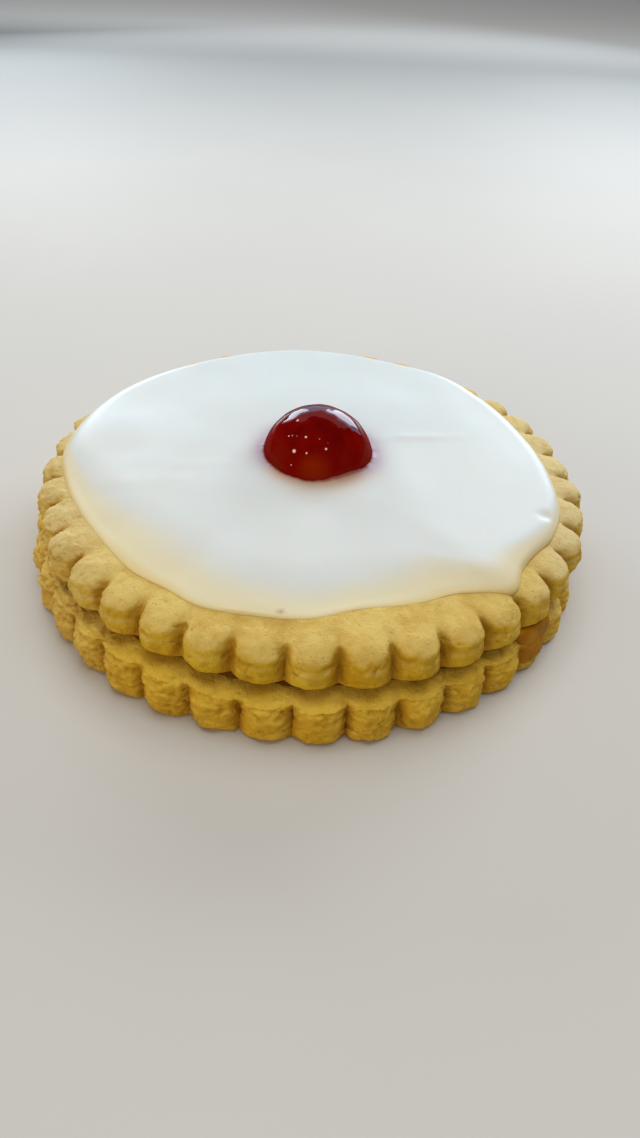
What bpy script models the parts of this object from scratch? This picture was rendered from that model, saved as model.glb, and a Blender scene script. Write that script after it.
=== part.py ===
"""Empire biscuit: two fluted shortbread rounds joined by jam, with icing and half a glace cherry on top.

Units are metres. The origin is at the centre of the biscuit's footprint, on the surface that it stands on.
+Z is up and -Y is the front.
"""

import math
import random
from collections import namedtuple

import bmesh
import bpy
from mathutils import Vector, noise

MM = 0.001

# Touching pieces keep this clearance, so that their solids stay apart.
GAP = 0.3 * MM

# The fluted cutter: round lobes that meet in sharp valleys.
FLUTES = 37
VALLEY_RADIUS = 39.2 * MM
LOBE_RADIUS = 3.75 * MM
POINTS_PER_FLUTE = 6
FLUTE_PITCH = 2.0 * math.pi / FLUTES

# The two rounds don't lie quite over each other: the upper one sits towards the back.
STACK_CENTRE = Vector((0.45 * MM, 0.05 * MM))
STACK_SHIFT = Vector((0.1 * MM, 1.75 * MM))
LOWER_CENTRE = STACK_CENTRE - 0.5 * STACK_SHIFT
UPPER_CENTRE = STACK_CENTRE + 0.5 * STACK_SHIFT

LOWER_THICKNESS = 6.5 * MM
LOWER_FIRST_VALLEY = math.radians(219.2)
LOWER_FACE_SLOPE = Vector((-0.02, 0.0))
LOWER_SPREAD = Vector((-0.9 * MM, 0.0))

UPPER_THICKNESS = 5.5 * MM
UPPER_BASE_HEIGHT = 8.35 * MM
UPPER_FIRST_VALLEY = math.radians(178.4)
UPPER_SLOPE = Vector((-0.016, 0.0165))

# The face of a round is flat to this radius, then falls towards its rim.
FLAT_RADIUS = 33.0 * MM
RIM_FALL = 0.35 * MM

# Baking leaves each lobe a little different.
LOBE_SPREAD = 0.22 * MM
WALL_WAVE = 0.35 * MM
WALL_WAVE_TURNS = 2.0
FACE_WAVE = 0.16 * MM
FACE_WAVE_TURNS = 3.0
CREASE_DEPTH = 0.34 * MM

# Noise is stretched by the gain to reach about -1 and 1; seeds lie this far apart in it.
WAVE_GAIN = 1.6
WAVE_SEED_STEP = 7.3

JAM_POINTS = 96
JAM_RADIUS = 37.4 * MM
JAM_WAVE = 1.6 * MM
JAM_WAVE_TURNS = 2.5
JAM_SEED = 5
JAM_BULGE = 0.45 * MM
JAM_RUN_ANGLE = math.radians(320.0)
JAM_RUN_REACH = 1.6 * MM
JAM_RUN_WIDTH = math.radians(11.0)

ICING_POINTS = 120
ICING_THICKNESS = 1.4 * MM

# The icing lies on the flat of the face as far as this margin inside its edge.
ICING_UNDER_MARGIN = 2.0 * MM

# The edge of the icing in section: distance in from the edge and share of the thickness reached.
ICING_EDGE_SECTION = (
    (0.0, 0.0), (0.12 * MM, 0.34), (0.55 * MM, 0.68), (1.5 * MM, 0.88), (4.0 * MM, 0.98), (12.0 * MM, 1.0),
)

# The edge is thinnest towards the front left, and the icing reaches its full thickness further in.
ICING_EDGE_SHARE = 0.8
ICING_EDGE_SHARE_CHANGE = 0.25
ICING_THIN_SIDE = math.radians(245.0)
ICING_FULL_INSET = 12.0 * MM

# Distance from the middle to the edge of the icing, at angles in degrees anticlockwise from the right.
ICING_EDGE = (
    (0, 36.3), (20, 35.7), (38, 36.5), (54, 37.7), (70, 36.8), (95, 37.6), (125, 37.2), (148, 38.4),
    (166, 38.8), (179, 38.7), (190, 37.4), (206, 35.7), (218, 35.1), (230, 35.3), (238, 34.9), (247, 35.4),
    (258, 34.6), (270, 34.0), (281, 32.4), (295, 33.1), (304, 33.6), (310, 35.5), (315, 37.7), (322, 36.1),
    (328, 36.0), (336, 36.9), (346, 37.2),
)

CHERRY_OFFSET = Vector((0.3 * MM, 1.7 * MM))
CHERRY_RADIUS = 8.3 * MM
CHERRY_HEIGHT = 6.8 * MM
CHERRY_SEGMENTS = 32
CHERRY_RINGS = 8
CHERRY_BASE_EDGE = 0.5 * MM
# Powers of more than 1 draw the dome in from a plain ellipse.
CHERRY_TAPER = 1.14
MERGE_DISTANCE = 0.01 * MM

# Edges sharper than these angles are shaded as creases.
SOLID_CREASE = math.radians(50.0)
SHEET_CREASE = math.radians(60.0)

# height: up from the base for a wall, down from the face for an edge; outset: moved outwards;
# flute: share of the lobes' depth; crease: share of the crease's depth; sag: extra fall in the valleys.
WallLevel = namedtuple("WallLevel", "height outset flute crease")
WALL_LEVELS = (
    WallLevel(0.0, -0.5 * MM, 0.97, 0.0),
    WallLevel(0.4 * MM, 0.0, 1.0, 0.0),
    WallLevel(1.3 * MM, 0.12 * MM, 1.0, 0.0),
    WallLevel(1.75 * MM, -0.06 * MM, 1.0, 1.0),
    WallLevel(2.25 * MM, 0.12 * MM, 1.0, 0.0),
    WallLevel(4.0 * MM, 0.04 * MM, 1.0, 0.0),
)
EdgeLevel = namedtuple("EdgeLevel", "height outset flute sag")
EDGE_LEVELS = (
    EdgeLevel(-0.62 * MM, -0.16 * MM, 1.0, 0.1 * MM),
    EdgeLevel(-0.18 * MM, -0.62 * MM, 0.94, 0.35 * MM),
    EdgeLevel(0.0, -1.6 * MM, 0.7, 0.4 * MM),
)
OPEN_EDGE_LEVELS = EDGE_LEVELS + (EdgeLevel(0.0, -3.4 * MM, 0.25, 0.1 * MM),)

NO_SLOPE = Vector((0.0, 0.0))
NO_SPREAD = Vector((0.0, 0.0))
Round = namedtuple(
    "Round", "centre base thickness first_valley base_slope face_slope spread edge_levels seed"
)
LOWER_ROUND = Round(
    LOWER_CENTRE, 0.0, LOWER_THICKNESS, LOWER_FIRST_VALLEY, NO_SLOPE, LOWER_FACE_SLOPE,
    LOWER_SPREAD, EDGE_LEVELS, 3,
)
UPPER_ROUND = Round(
    UPPER_CENTRE, UPPER_BASE_HEIGHT, UPPER_THICKNESS, UPPER_FIRST_VALLEY, UPPER_SLOPE, UPPER_SLOPE,
    NO_SPREAD, OPEN_EDGE_LEVELS, 8,
)


def clear_scene():
    """Remove the objects that a new file starts with."""
    for item in list(bpy.data.objects):
        bpy.data.objects.remove(item, do_unlink=True)


def food_material(name, colour, roughness):
    """Principled material of one plain food colour."""
    material = bpy.data.materials.new(name)
    material.use_nodes = True
    shader = material.node_tree.nodes["Principled BSDF"]
    shader.inputs["Base Color"].default_value = (*colour, 1.0)
    shader.inputs["Roughness"].default_value = roughness
    shader.inputs["Metallic"].default_value = 0.0
    return material


def add_node(name, bm, material, crease_angle):
    """Turn a bmesh into a named, smooth-shaded object at the origin."""
    bmesh.ops.recalc_face_normals(bm, faces=bm.faces)
    mesh = bpy.data.meshes.new(name)
    bm.to_mesh(mesh)
    bm.free()
    mesh.materials.append(material)
    mesh.shade_smooth()
    mesh.set_sharp_from_angle(angle=crease_angle)
    node = bpy.data.objects.new(name, mesh)
    bpy.context.scene.collection.objects.link(node)
    return node


def wave(angle, turns, seed):
    """Smooth unevenness round a ring, between about -1 and 1."""
    spot = Vector((turns * math.cos(angle), turns * math.sin(angle), WAVE_SEED_STEP * seed))
    return WAVE_GAIN * noise.noise(spot)


def slope_height(slope, offset):
    """Height gained by a sloping plane at an offset from its middle."""
    return slope.x * offset.x + slope.y * offset.y


def rim_fall(radius):
    """How far the face of a round has fallen at a radius."""
    past_flat = max(0.0, radius - FLAT_RADIUS) / (VALLEY_RADIUS - FLAT_RADIUS)
    return RIM_FALL * past_flat ** 2


def loft(rings):
    """Closed body raised from its first ring through the others, with a fan over each end."""
    bm = bmesh.new()
    place = bm.verts.layers.int.new("place")
    corners = [bm.verts.new(point) for point in rings[0]]
    for index, corner in enumerate(corners):
        corner[place] = index
    base = bm.faces.new(corners)
    cap = base
    for ring in rings[1:]:
        raised = bmesh.ops.extrude_face_region(bm, geom=[cap])["geom"]
        if cap is not base:
            bmesh.ops.delete(bm, geom=[cap], context="FACES_ONLY")
        cap = next(item for item in raised if isinstance(item, bmesh.types.BMFace))
        for corner in cap.verts:
            corner.co = ring[corner[place]]
    bmesh.ops.poke(bm, faces=[base, cap])
    return bm


def lobe_points():
    """Angle and radius of the points along one flute, from its valley round its lobe."""
    half_chord = VALLEY_RADIUS * math.sin(FLUTE_PITCH / 2.0)
    reach = math.sqrt(LOBE_RADIUS ** 2 - half_chord ** 2)
    middle = VALLEY_RADIUS * math.cos(FLUTE_PITCH / 2.0) - reach
    swing = math.atan2(half_chord, reach)
    points = []
    for step in range(POINTS_PER_FLUTE):
        turn = swing * (2.0 * step / POINTS_PER_FLUTE - 1.0)
        out = middle + LOBE_RADIUS * math.cos(turn)
        across = LOBE_RADIUS * math.sin(turn)
        points.append((math.atan2(across, out) + FLUTE_PITCH / 2.0, math.hypot(across, out)))
    return points


def wall_height(biscuit, level, angle, offset, lobe):
    """Height of a point of the wall above the underside of its round."""
    slope = biscuit.base_slope.lerp(biscuit.face_slope, level.height / biscuit.thickness)
    return level.height + slope_height(slope, offset)


def edge_height(biscuit, level, angle, offset, lobe):
    """Height of a point of the rounded upper edge above the underside of its round."""
    height = biscuit.thickness + level.height + slope_height(biscuit.face_slope, offset)
    height += FACE_WAVE * wave(angle, FACE_WAVE_TURNS, biscuit.seed + 1)
    return height - rim_fall(offset.length) - level.sag * (1.0 - lobe)


def round_ring(biscuit, level, height_at, crease=0.0):
    """One ring of points on the fluted wall or upper edge of a round."""
    draw = random.Random(biscuit.seed)
    flute = lobe_points()
    lobe_depth = max(radius for _, radius in flute) - VALLEY_RADIUS
    ring = []
    for index in range(FLUTES):
        lobe_change = draw.uniform(-LOBE_SPREAD, LOBE_SPREAD)
        crease_here = crease * draw.uniform(0.0, 1.0)
        for step_angle, radius in flute:
            angle = biscuit.first_valley + index * FLUTE_PITCH + step_angle
            lobe = (radius - VALLEY_RADIUS) / lobe_depth
            out = VALLEY_RADIUS + level.flute * (radius - VALLEY_RADIUS) + level.outset
            out += WALL_WAVE * wave(angle, WALL_WAVE_TURNS, biscuit.seed)
            out += biscuit.spread.x * math.cos(angle) + biscuit.spread.y * math.sin(angle)
            out += lobe * (lobe_change - crease_here)
            offset = Vector((out * math.cos(angle), out * math.sin(angle)))
            height = biscuit.base + height_at(biscuit, level, angle, offset, lobe)
            spot = biscuit.centre + offset
            ring.append(Vector((spot.x, spot.y, height)))
    return ring


def plain_ring(centre, radius_at, height_at, points):
    """Ring of points whose radius and height are worked out from the angle."""
    ring = []
    for index in range(points):
        angle = 2.0 * math.pi * index / points
        radius = radius_at(angle)
        offset = Vector((radius * math.cos(angle), radius * math.sin(angle)))
        spot = centre + offset
        ring.append(Vector((spot.x, spot.y, height_at(angle, offset))))
    return ring


def flat_ring(biscuit):
    """Ring where the flat of a round's face begins, with the points set out like those of the flutes."""
    ring = []
    for index in range(FLUTES):
        for step_angle, _ in lobe_points():
            angle = biscuit.first_valley + index * FLUTE_PITCH + step_angle
            offset = Vector((FLAT_RADIUS * math.cos(angle), FLAT_RADIUS * math.sin(angle)))
            height = biscuit.base + biscuit.thickness + slope_height(biscuit.face_slope, offset)
            spot = biscuit.centre + offset
            ring.append(Vector((spot.x, spot.y, height)))
    return ring


def shortbread_round(name, biscuit, material):
    """One baked round: flat base, creased fluted wall, soft edge and a face that falls at the rim."""
    rings = [round_ring(biscuit, level, wall_height, CREASE_DEPTH * level.crease) for level in WALL_LEVELS]
    rings += [round_ring(biscuit, level, edge_height) for level in biscuit.edge_levels]
    rings.append(flat_ring(biscuit))
    return add_node(name, loft(rings), material, SOLID_CREASE)


def jam_radius(angle):
    """Uneven edge of the jam, with one place where it has been pressed out."""
    away = math.remainder(angle - JAM_RUN_ANGLE, 2.0 * math.pi) / JAM_RUN_WIDTH
    radius = JAM_RADIUS + JAM_WAVE * wave(angle, JAM_WAVE_TURNS, JAM_SEED)
    return radius + JAM_RUN_REACH * math.exp(-away ** 2)


def jam_base(offset):
    """Height of the jam's underside, on the lower round."""
    return LOWER_THICKNESS + GAP + slope_height(LOWER_FACE_SLOPE, offset + STACK_SHIFT / 2.0)


def jam_top(offset):
    """Height of the jam's upper side, under the upper round."""
    return UPPER_BASE_HEIGHT - GAP + slope_height(UPPER_SLOPE, offset - STACK_SHIFT / 2.0)


def jam_layer(name, material):
    """The jam between the rounds, a wedge with a soft uneven edge."""
    rings = [
        plain_ring(STACK_CENTRE, jam_radius, lambda angle, offset: jam_base(offset), JAM_POINTS),
        plain_ring(
            STACK_CENTRE,
            lambda angle: jam_radius(angle) + JAM_BULGE,
            lambda angle, offset: (jam_base(offset) + jam_top(offset)) / 2.0,
            JAM_POINTS,
        ),
        plain_ring(STACK_CENTRE, jam_radius, lambda angle, offset: jam_top(offset), JAM_POINTS),
    ]
    return add_node(name, loft(rings), material, SHEET_CREASE)


def icing_radius(angle):
    """Edge of the icing, a smooth curve through its named places."""
    turn = math.degrees(angle) % 360.0
    count = len(ICING_EDGE)
    later = next((i for i, (place, _) in enumerate(ICING_EDGE) if place > turn), count)
    places = []
    for index in range(later - 2, later + 2):
        place, radius = ICING_EDGE[index % count]
        places.append((place + 360.0 * (index // count), radius))
    (past, before), (start, first), (end, last), (beyond, after) = places
    span = end - start
    leave = (last - before) / (end - past) * span
    arrive = (after - first) / (beyond - start) * span
    t = (turn - start) / span
    bend = (2.0 * t ** 3 - 3.0 * t ** 2 + 1.0) * first + (t ** 3 - 2.0 * t ** 2 + t) * leave
    bend += (3.0 * t ** 2 - 2.0 * t ** 3) * last + (t ** 3 - t ** 2) * arrive
    return bend * MM


def icing_fullness(angle):
    """Share of the icing's thickness near its edge: full at the back and right, thin at the front left."""
    return ICING_EDGE_SHARE - ICING_EDGE_SHARE_CHANGE * math.cos(angle - ICING_THIN_SIDE)


def icing_base(offset):
    """Height of the icing's underside, on the upper round's face."""
    face = UPPER_BASE_HEIGHT + UPPER_THICKNESS + slope_height(UPPER_SLOPE, offset)
    return face + GAP - rim_fall(offset.length)


def icing_ring(inset, rise):
    """Ring of the icing, moved in from its edge and up from its underside."""
    def height(angle, offset):
        edge = icing_fullness(angle)
        share = edge + (1.0 - edge) * min(1.0, inset / ICING_FULL_INSET)
        return icing_base(offset) + rise * share
    return plain_ring(UPPER_CENTRE, lambda angle: icing_radius(angle) - inset, height, ICING_POINTS)


def icing_layer(name, material):
    """Set water icing: a thin sheet with a rounded edge and an uneven outline."""
    under_flat = plain_ring(
        UPPER_CENTRE,
        lambda angle: min(FLAT_RADIUS, icing_radius(angle) - ICING_UNDER_MARGIN),
        lambda angle, offset: icing_base(offset),
        ICING_POINTS,
    )
    rings = [under_flat]
    rings += [icing_ring(inset, share * ICING_THICKNESS) for inset, share in ICING_EDGE_SECTION]
    return add_node(name, loft(rings), material, SHEET_CREASE)


def cherry_half(name, material):
    """Half a glace cherry, cut side down: a profile turned about its middle."""
    spot = UPPER_CENTRE + CHERRY_OFFSET
    base = icing_base(CHERRY_OFFSET) + ICING_THICKNESS + GAP
    profile = [Vector((0.0, 0.0, 0.0)), Vector((CHERRY_RADIUS - CHERRY_BASE_EDGE, 0.0, 0.0))]
    for step in range(CHERRY_RINGS + 1):
        turn = math.pi / 2.0 * step / CHERRY_RINGS
        out = CHERRY_RADIUS * math.cos(turn) ** CHERRY_TAPER
        up = CHERRY_BASE_EDGE + (CHERRY_HEIGHT - CHERRY_BASE_EDGE) * math.sin(turn) ** CHERRY_TAPER
        profile.append(Vector((out if step < CHERRY_RINGS else 0.0, 0.0, up)))
    bm = bmesh.new()
    points = [bm.verts.new(point) for point in profile]
    edges = [bm.edges.new(pair) for pair in zip(points, points[1:])]
    bmesh.ops.spin(
        bm, geom=points + edges, cent=(0.0, 0.0, 0.0), axis=(0.0, 0.0, 1.0), angle=2.0 * math.pi,
        steps=CHERRY_SEGMENTS, use_merge=True,
    )
    bmesh.ops.remove_doubles(bm, verts=bm.verts, dist=MERGE_DISTANCE)
    bmesh.ops.translate(bm, verts=bm.verts, vec=(spot.x, spot.y, base))
    return add_node(name, bm, material, SOLID_CREASE)


def main():
    clear_scene()
    shortbread = food_material("shortbread", (0.60, 0.42, 0.11), 0.75)
    jam = food_material("jam", (0.42, 0.06, 0.012), 0.2)
    icing = food_material("icing", (0.78, 0.80, 0.78), 0.25)
    cherry = food_material("cherry", (0.20, 0.004, 0.003), 0.12)
    shortbread_round("lower_biscuit", LOWER_ROUND, shortbread)
    jam_layer("jam", jam)
    shortbread_round("upper_biscuit", UPPER_ROUND, shortbread.copy())
    icing_layer("icing", icing)
    cherry_half("cherry", cherry)


main()
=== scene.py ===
"""Empire biscuit: finished surfaces of two fluted shortbread rounds, jam, icing and half a glace cherry.

Units are metres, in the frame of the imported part: +Z is up and -Y is the front.
"""

import math
import random
from collections import namedtuple

import bmesh
import bpy
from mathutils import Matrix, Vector, noise


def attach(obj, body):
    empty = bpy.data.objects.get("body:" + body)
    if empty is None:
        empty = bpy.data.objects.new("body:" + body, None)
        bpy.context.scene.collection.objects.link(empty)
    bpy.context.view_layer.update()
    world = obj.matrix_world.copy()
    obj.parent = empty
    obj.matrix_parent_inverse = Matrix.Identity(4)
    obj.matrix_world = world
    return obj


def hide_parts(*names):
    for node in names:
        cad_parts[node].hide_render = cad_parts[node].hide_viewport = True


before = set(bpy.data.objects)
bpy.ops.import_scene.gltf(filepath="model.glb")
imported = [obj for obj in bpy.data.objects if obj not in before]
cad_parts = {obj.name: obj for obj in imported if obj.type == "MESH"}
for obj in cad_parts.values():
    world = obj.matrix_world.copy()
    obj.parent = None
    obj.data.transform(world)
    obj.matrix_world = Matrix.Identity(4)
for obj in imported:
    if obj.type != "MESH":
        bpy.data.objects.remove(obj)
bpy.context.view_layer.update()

MM = 0.001
GAP = 0.3 * MM
FULL_TURN = 2.0 * math.pi
QUARTER_TURN = math.pi / 2.0
DEGREE = math.pi / 180.0

# The fluted cutter: round lobes that meet in sharp valleys.
FLUTES = 37
COLUMNS_PER_FLUTE = 36
VALLEY_RADIUS = 39.2 * MM
LOBE_RADIUS = 3.75 * MM
FLUTE_PITCH = FULL_TURN / FLUTES
HALF_CHORD = VALLEY_RADIUS * math.sin(FLUTE_PITCH / 2.0)
LOBE_REACH = math.sqrt(LOBE_RADIUS ** 2 - HALF_CHORD ** 2)
LOBE_MIDDLE = VALLEY_RADIUS * math.cos(FLUTE_PITCH / 2.0) - LOBE_REACH
LOBE_SWING = math.atan2(HALF_CHORD, LOBE_REACH)
LOBE_DEPTH = LOBE_MIDDLE + LOBE_RADIUS - VALLEY_RADIUS

# The two rounds don't lie quite over each other: the upper one sits towards the back.
STACK_CENTRE = Vector((0.45 * MM, 0.05 * MM))
STACK_SHIFT = Vector((0.1 * MM, 1.75 * MM))

# The face of a round is flat to this radius, then falls towards its rim.
FLAT_RADIUS = 33.0 * MM
RIM_FALL = 0.35 * MM
FLUTE_REACH = 6.0 * MM

LOBE_SPREAD = 0.14 * MM
WALL_WAVE = 0.35 * MM
WALL_WAVE_TURNS = 2.0
FACE_WAVE = 0.16 * MM
FACE_WAVE_TURNS = 3.0
WAVE_GAIN = 1.6
WAVE_SEED_STEP = 7.3
ROW_STEP = 0.2 * MM

# Height up a wall, then how far its lobes and its valleys stand out from the plain outline, in millimetres.
LOWER_WALL = (
    (0.0, -0.8, -0.3), (0.06, -0.6, -0.1), (0.16, -0.42, 0.03), (0.3, -0.28, 0.1), (0.5, -0.16, 0.15),
    (0.75, -0.06, 0.08), (1.2, 0.04, -0.08), (1.7, 0.04, -0.2), (1.95, -0.1, -0.28), (2.3, 0.08, -0.3),
    (3.5, 0.14, -0.42), (4.4, 0.04, -0.42), (5.0, -0.14, -0.1), (5.4, -0.3, 0.3), (5.8, -0.45, 0.65),
)
UPPER_WALL = (
    (0.0, -1.0, -0.1), (0.06, -0.8, 0.05), (0.16, -0.55, 0.2), (0.3, -0.32, 0.3), (0.5, -0.12, 0.3),
    (0.75, 0.04, 0.22), (1.2, 0.2, 0.02), (2.0, 0.32, -0.25), (2.7, 0.26, -0.42), (3.2, 0.1, -0.52),
    (3.5, 0.0, -0.58), (3.8, 0.02, -0.6),
)

Round = namedtuple(
    "Round",
    "centre base thickness first_valley base_slope face_slope spread shoulder_in shoulder_down notch_depth "
    "pillow_rise valley_power wall rough flakes face_insets seed",
)
LOWER_ROUND = Round(
    centre=STACK_CENTRE - 0.5 * STACK_SHIFT,
    base=0.0,
    thickness=6.5 * MM,
    first_valley=219.2 * DEGREE,
    base_slope=Vector((0.0, 0.0)),
    face_slope=Vector((-0.02, 0.0)),
    spread=Vector((-0.9 * MM, 0.0)),
    shoulder_in=0.8 * MM,
    shoulder_down=0.4 * MM,
    notch_depth=0.1 * MM,
    pillow_rise=0.04 * MM,
    valley_power=1.7,
    wall=LOWER_WALL,
    rough=1.7,
    flakes=0.2,
    face_insets=(0.95, 1.15, 1.35, 1.65, 1.95, 2.3, 2.7, 3.1, 3.6, 4.2, 5.0, 6.0, 8.0, 12.0, 20.0, 30.0),
    seed=3,
)
UPPER_ROUND = Round(
    centre=STACK_CENTRE + 0.5 * STACK_SHIFT,
    base=8.35 * MM,
    thickness=5.5 * MM,
    first_valley=178.4 * DEGREE,
    base_slope=Vector((-0.016, 0.0165)),
    face_slope=Vector((-0.016, 0.0165)),
    spread=Vector((0.0, 0.0)),
    shoulder_in=1.9 * MM,
    shoulder_down=1.3 * MM,
    notch_depth=0.85 * MM,
    pillow_rise=0.2 * MM,
    valley_power=1.5,
    wall=UPPER_WALL,
    rough=1.18,
    flakes=0.06,
    face_insets=(
        2.1, 2.35, 2.6, 2.9, 3.2, 3.5, 3.85, 4.2, 4.6, 5.0, 5.5, 6.0, 6.6, 7.2, 7.9, 8.7, 10.0, 13.0, 20.0,
        30.0,
    ),
    seed=8,
)
UPPER_FACE = UPPER_ROUND.base + UPPER_ROUND.thickness

JAM_RADIUS = 37.4 * MM
JAM_WAVE = 1.6 * MM
JAM_WAVE_TURNS = 2.5
JAM_WAVE_LIMIT = 0.2
JAM_RIPPLE = 0.3 * MM
JAM_RIPPLE_TURNS = 11.0
JAM_SEED = 5
JAM_BULGE = 0.7 * MM
JAM_BULGE_STEPS = 8
JAM_INSETS = (12.0 * MM, 3.0 * MM)
JAM_COLUMNS = 360
# The place at the front right where the jam has been pressed out.
JAM_RUN_ANGLE = 320.5 * DEGREE
JAM_RUN_REACH = 2.3 * MM
JAM_RUN_FLAT = 3.0 * DEGREE
JAM_RUN_END = 7.5 * DEGREE
JAM_RUN_DROOP = 2.2 * MM
JAM_DROOP_RADII = (39.0 * MM, 40.2 * MM)
# The jam on the lower wall below that place, and a tinge on the upper round next to it.
JAM_STAIN_ANGLE = 321.4 * DEGREE
JAM_STAIN_WIDTH = 5.2 * DEGREE
TINGE_ANGLE = 341.5 * DEGREE
TINGE_WIDTH = 4.8 * DEGREE
TINGE_SHARE = 0.55

ICING_COLUMNS = 480
ICING_THICKNESS = 1.4 * MM + GAP
# Distance from the middle to the edge of the icing in millimetres, at angles in degrees.
ICING_EDGE = (
    (0, 36.3), (20, 35.7), (38, 36.5), (54, 37.7), (70, 36.8), (95, 37.6), (125, 37.2), (148, 38.4),
    (166, 38.8), (179, 38.7), (190, 37.4), (206, 35.7), (218, 35.1), (230, 35.3), (238, 34.9), (247, 35.4),
    (258, 34.6), (270, 34.0), (281, 32.4), (295, 33.1), (304, 33.6), (310, 35.5), (315, 37.7), (322, 36.1),
    (328, 36.0), (336, 36.9), (346, 37.2),
)
# Width in millimetres of the band where the icing thins towards its edge.
ICING_BAND = (
    (0, 2.6), (60, 2.0), (120, 2.0), (160, 3.2), (180, 5.0), (200, 9.0), (224, 11.5), (250, 11.0),
    (268, 10.5), (285, 10.0), (300, 8.5), (310, 6.8), (317, 5.4), (324, 4.2), (345, 2.8),
)
# Share of the thickness that the icing has at its edge bead.
ICING_BEAD = (
    (0, 0.6), (60, 0.7), (120, 0.7), (160, 0.5), (180, 0.36), (195, 0.2), (210, 0.1), (224, 0.06),
    (240, 0.06), (252, 0.1), (268, 0.09), (285, 0.06), (300, 0.08), (310, 0.16), (317, 0.34), (324, 0.45),
    (345, 0.55),
)
# Width in millimetres of the cream band along the edge of the icing: partly the shortbread showing through
# thin icing, partly painted shade, widest at the front.
ICING_CREAM = (
    (0, 1.5), (20, 1.3), (60, 1.0), (120, 1.0), (160, 1.4), (180, 2.4), (195, 5.0), (210, 8.0), (224, 10.5),
    (240, 9.5), (255, 8.0), (268, 7.0), (285, 7.0), (300, 9.0), (312, 9.0), (320, 6.0), (330, 3.0),
    (345, 1.8),
)
ICING_INSETS = (
    0.0, 0.04, 0.12, 0.24, 0.4, 0.6, 0.85, 1.1, 1.4, 1.75, 2.1, 2.5, 2.9, 3.35, 3.8, 4.3, 4.8, 5.4, 6.0,
    6.7, 7.4, 8.1, 8.9, 9.7, 10.5, 11.4,
)
ICING_UNDER_INSETS = (30.0, 10.0, 3.0, 1.0, 0.35)
# Rows between the outer rows and the ones that follow the cherry, and distances of those from its middle.
ICING_MIDDLE_ROWS = 12
ICING_INNER = (
    11.8, 11.2, 10.7, 10.3, 9.95, 9.65, 9.4, 9.2, 9.04, 8.9, 8.78, 8.66, 8.56, 8.46, 8.36, 8.26, 8.14,
    8.0, 7.8, 7.4, 6.6, 4.5,
)

CHERRY_OFFSET = Vector((0.3 * MM, 1.7 * MM))
CHERRY_RADIUS = 8.35 * MM
CHERRY_HEIGHT = 7.15 * MM
# Powers of more than 1 draw the dome in from a plain ellipse.
CHERRY_TAPER = 1.14
CHERRY_TUCK = 0.3 * MM
CHERRY_SUNK = 0.6 * MM
CHERRY_COLUMNS = 300
CHERRY_ROWS = 110
# Painted glints on the skin, each on a small raised bump: place from the middle of the cherry, and size, in
# millimetres.
CHERRY_GLINT_SPOTS = (
    (-3.14, -1.86, 0.24), (-4.36, -3.79, 0.17), (-3.84, -3.97, 0.14), (-3.17, -4.31, 0.15),
    (-1.85, -4.78, 0.22), (0.13, -5.15, 0.15), (1.39, -5.48, 0.14), (-3.51, -5.94, 0.34),
    (-1.67, -6.58, 0.18), (1.13, -6.18, 0.24), (-3.87, -6.94, 0.13),
)
GLINT_BUMP_RISE = 0.12 * MM

CAMERA_PLACE = Vector((0.4 * MM, -109.715 * MM, 83.867 * MM))
CAMERA_TURN = (50.7733 * DEGREE, -2.2338 * DEGREE, 0.9937 * DEGREE)
CAMERA_LENS = 26.772


def smooth(value, low, high):
    """Ease from 0 to 1 as a value goes from low to high."""
    share = min(1.0, max(0.0, (value - low) / (high - low)))
    return share * share * (3.0 - 2.0 * share)


def bell(value, width):
    """Bump of height 1 that fades over a width on both sides of zero."""
    return math.exp(-(value / width) ** 2)


def apart(angle, other):
    """How far two angles are apart, at most half a turn."""
    return abs(math.remainder(angle - other, FULL_TURN))


def wave(angle, turns, seed):
    """Smooth unevenness round a ring, between about -1 and 1."""
    spot = Vector((turns * math.cos(angle), turns * math.sin(angle), WAVE_SEED_STEP * seed))
    return WAVE_GAIN * noise.noise(spot)


def curve_at(places, angle):
    """Smooth closed curve through (degrees, value) places."""
    turn = math.degrees(angle) % 360.0
    count = len(places)
    later = next((i for i, (place, _) in enumerate(places) if place > turn), count)
    near = []
    for index in range(later - 2, later + 2):
        place, value = places[index % count]
        near.append((place + 360.0 * (index // count), value))
    (past, before), (start, first), (end, last), (beyond, after) = near
    span = end - start
    leave = (last - before) / (end - past) * span
    arrive = (after - first) / (beyond - start) * span
    t = (turn - start) / span
    bend = (2.0 * t ** 3 - 3.0 * t ** 2 + 1.0) * first + (t ** 3 - 2.0 * t ** 2 + t) * leave
    return bend + (3.0 * t ** 2 - 2.0 * t ** 3) * last + (t ** 3 - t ** 2) * arrive


def outward(angle, radius):
    """Offset of a point at an angle and a radius."""
    return Vector((radius * math.cos(angle), radius * math.sin(angle)))


def raised(spot, height):
    """A flat spot lifted to a height."""
    return Vector((spot.x, spot.y, height))


def slope_height(slope, offset):
    """Height gained by a sloping plane at an offset from its middle."""
    return slope.x * offset.x + slope.y * offset.y


def rim_fall(radius):
    """How far the face of a round has fallen at a radius."""
    past_flat = max(0.0, radius - FLAT_RADIUS) / (VALLEY_RADIUS - FLAT_RADIUS)
    return RIM_FALL * past_flat ** 2


def turned(rows, columns, place):
    """Closed surface of rows round an axis; the first and last rows close into points."""
    bm = bmesh.new()
    made = bmesh.ops.create_grid(bm, x_segments=columns, y_segments=rows - 1, size=0.5)["verts"]
    ends = []
    for point in made:
        column = round((point.co.x + 0.5) * columns)
        row = round((point.co.y + 0.5) * (rows - 1))
        point.co = place(row, column % columns)
        if column in (0, columns) or row in (0, rows - 1):
            ends.append(point)
    bmesh.ops.remove_doubles(bm, verts=ends, dist=1e-7)
    bmesh.ops.recalc_face_normals(bm, faces=bm.faces)
    bm.normal_update()
    return bm


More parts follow.
